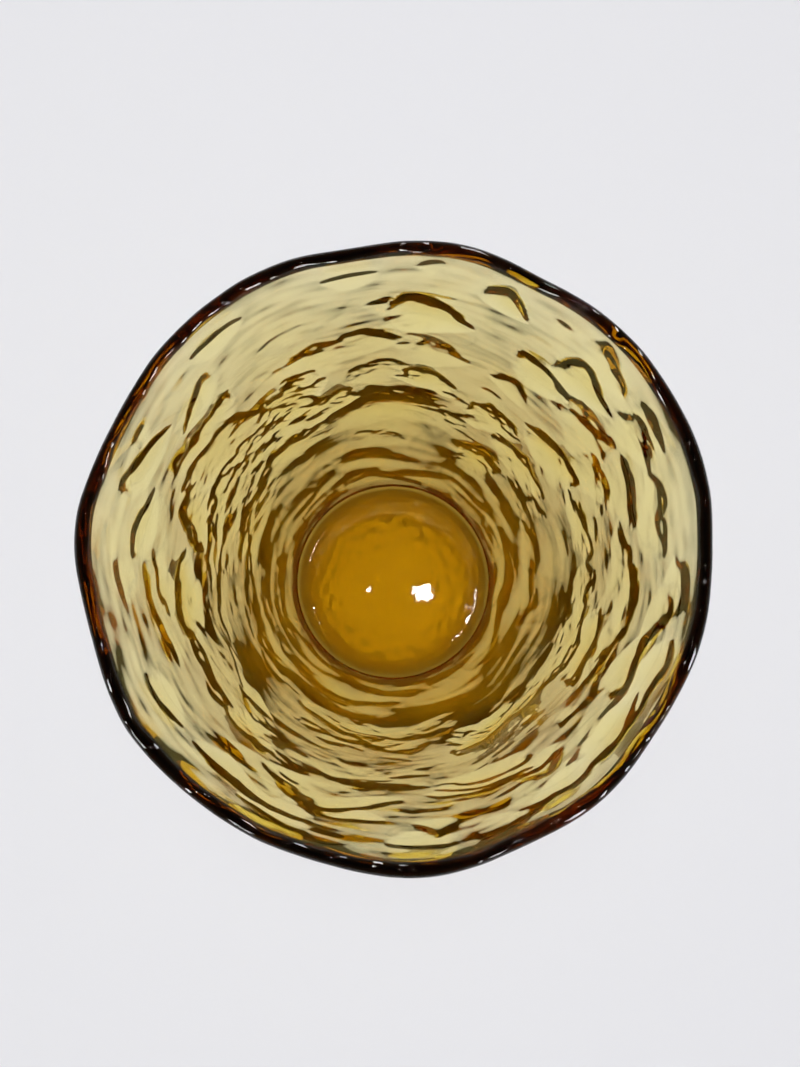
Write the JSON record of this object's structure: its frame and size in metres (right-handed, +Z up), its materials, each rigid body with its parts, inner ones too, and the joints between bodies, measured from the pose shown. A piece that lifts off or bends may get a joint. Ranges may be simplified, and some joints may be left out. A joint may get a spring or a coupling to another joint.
{
  "type": "glass vase",
  "caption": "Tapered amber glass vase with a crinkled bark relief, a thick solid base and a wavy fire-polished lip; it stands on a table and holds stems and water.",
  "frame": {"origin": "centre of the flat underside, on the vase's axis", "axes": "+Z up along the axis, out of the mouth; X and Y level"},
  "size_m": [0.1006, 0.1005, 0.2],
  "materials": {
    "base_glass": "amber soda-lime glass, deep in colour because it is thick",
    "wall_glass": "amber soda-lime glass, pale in a thin wall, mould-blown with a bark relief",
    "rim_glass": "amber soda-lime glass seen edge on, fire-polished"
  },
  "bodies": {
    "root": {"base": "base_glass", "wall": "wall_glass", "rim": "rim_glass"}
  },
  "joints": []
}
